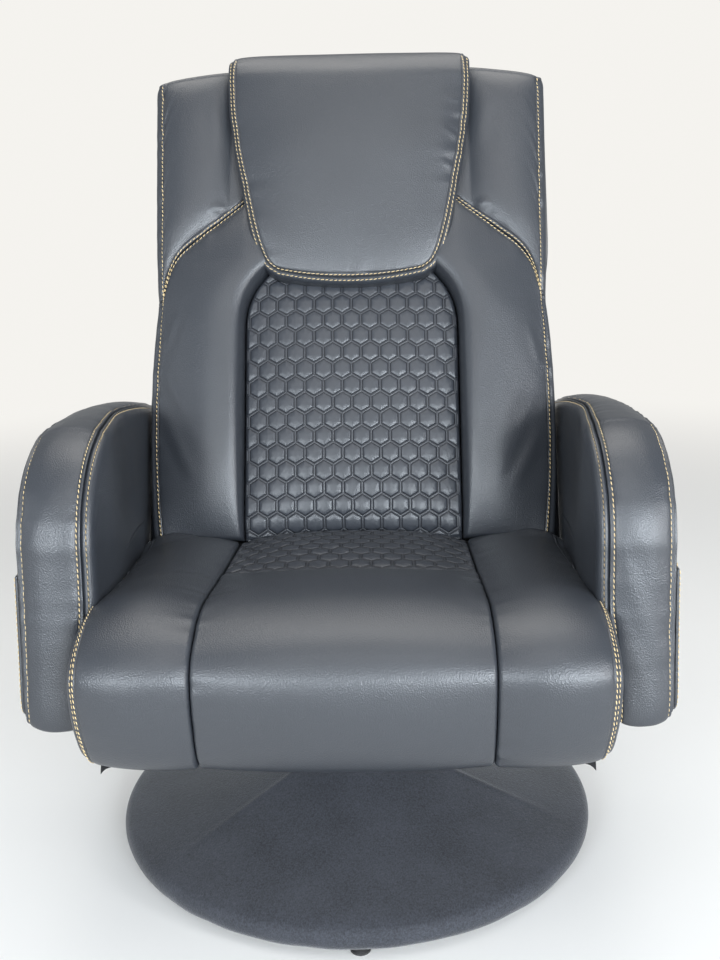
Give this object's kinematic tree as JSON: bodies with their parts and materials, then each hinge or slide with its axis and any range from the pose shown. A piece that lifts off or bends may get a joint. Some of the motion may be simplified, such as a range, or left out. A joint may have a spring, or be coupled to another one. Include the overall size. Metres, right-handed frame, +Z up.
{
  "type": "pedestal gaming chair",
  "caption": "Upholstered pedestal chair with quilted seat and back, headrest over the top edge and fixed padded arms. It swivels and rocks back on a round fabric-covered base.",
  "frame": {"origin": "on the floor, under the middle of the chair's outline as seen from above", "axes": "+Z up, +X to the right of someone who faces the chair, +Y from its front to its rear"},
  "size_m": [0.7186, 0.7892, 1.0189],
  "materials": {
    "leather": "black grained synthetic leather, satin, with tan topstitching",
    "cover_fabric": "black stretch fabric, matt",
    "dust_cloth": "black non-woven cloth, matt",
    "black_steel": "black powder coat, satin",
    "zinc_steel": "bright zinc plate",
    "plywood": "raw birch plywood",
    "black_plastic": "black moulded plastic, matt",
    "nylon": "natural white nylon",
    "rubber": "black rubber, matt"
  },
  "bodies": {
    "base": {"base_ring": "black_steel", "base_leg_1": "black_steel", "base_leg_2": "black_steel", "base_leg_3": "black_steel", "base_foot_1": "black_plastic", "base_foot_2": "black_plastic", "base_foot_3": "black_plastic", "base_foot_4": "black_plastic", "base_foot_5": "black_plastic", "base_foot_6": "black_plastic", "base_hub": "black_steel", "base_cover": "cover_fabric", "post": "black_steel", "post_bush_lower": "nylon", "post_bush_upper": "nylon", "thrust_washer": "zinc_steel"},
    "swivel": {"swivel_spindle": "zinc_steel", "swivel_plate": "black_steel", "tilt_pin": "zinc_steel", "torsion_bush": "rubber", "front_stop": "rubber", "rear_buffer": "rubber"},
    "seat": {"seat_front_cushion": "leather", "seat_quilt_cushion": "leather", "seat_bolster_left": "leather", "seat_bolster_right": "leather", "back_quilt": "leather", "back_upper_center": "leather", "back_upper_left": "leather", "back_upper_right": "leather", "back_bolster_left": "leather", "back_bolster_right": "leather", "back_shell": "leather", "head_pillow": "leather", "arm_pad_left": "leather", "arm_pad_right": "leather", "arm_pocket_left": "leather", "arm_pocket_right": "leather", "dust_cover": "dust_cloth", "seat_plate": "black_steel", "arm_bracket_left": "black_steel", "arm_bracket_right": "black_steel", "back_bracket_left": "black_steel", "back_bracket_right": "black_steel", "seat_bolt_1": "zinc_steel", "seat_bolt_2": "zinc_steel", "seat_bolt_3": "zinc_steel", "seat_bolt_4": "zinc_steel", "arm_bolt_left_1": "zinc_steel", "arm_bolt_left_2": "zinc_steel", "arm_bolt_right_1": "zinc_steel", "arm_bolt_right_2": "zinc_steel", "back_bolt_left": "zinc_steel", "back_bolt_right": "zinc_steel", "seat_board": "plywood", "back_board": "plywood", "arm_board_left": "plywood", "arm_board_right": "plywood"}
  },
  "joints": [
    {"name": "seat_swivel", "type": "hinge", "parent": "base", "child": "swivel", "pos_m": [0, -0.04581, 0.188], "axis": [0, 0, 1], "continuous": true},
    {"name": "rock_back", "type": "hinge", "parent": "swivel", "child": "seat", "pos_m": [0, -0.07581, 0.222], "axis": [-1, 0, 0], "range_deg": [0, 10], "stiffness_Nm_per_rad": 250, "springref_deg": -6.88}
  ]
}
